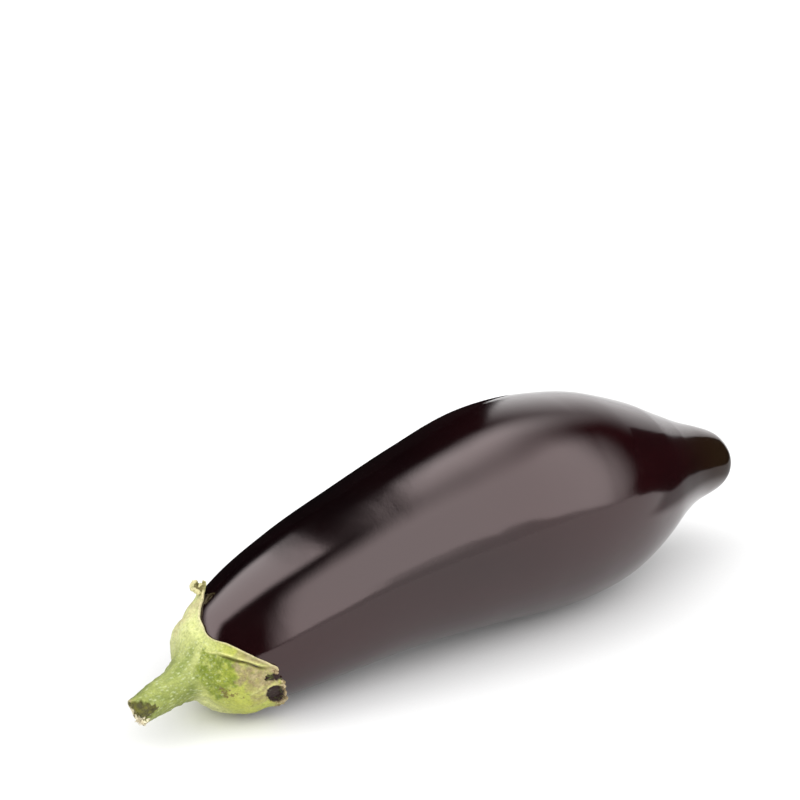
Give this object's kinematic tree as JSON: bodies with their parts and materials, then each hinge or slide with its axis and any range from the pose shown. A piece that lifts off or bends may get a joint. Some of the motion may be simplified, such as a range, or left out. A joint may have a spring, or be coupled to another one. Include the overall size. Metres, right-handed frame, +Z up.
{
  "type": "eggplant",
  "caption": "Glossy dark purple eggplant lying on its side, with a lobed green calyx clasping its neck and a cut stem.",
  "frame": {"origin": "on the surface it rests on, under the middle of the whole eggplant", "axes": "+X along the fruit towards the blossom end, with the stem towards -X; +Z up as it rests"},
  "size_m": [0.2752, 0.0814, 0.0791],
  "materials": {
    "skin": "smooth glossy near-black purple skin",
    "calyx": "matt leathery yellow-green, with dry tan tips",
    "stem": "matt green, downy, with a dry brown cut end"
  },
  "bodies": {
    "root": {"fruit": "skin", "calyx": "calyx", "stem": "stem"}
  },
  "joints": []
}
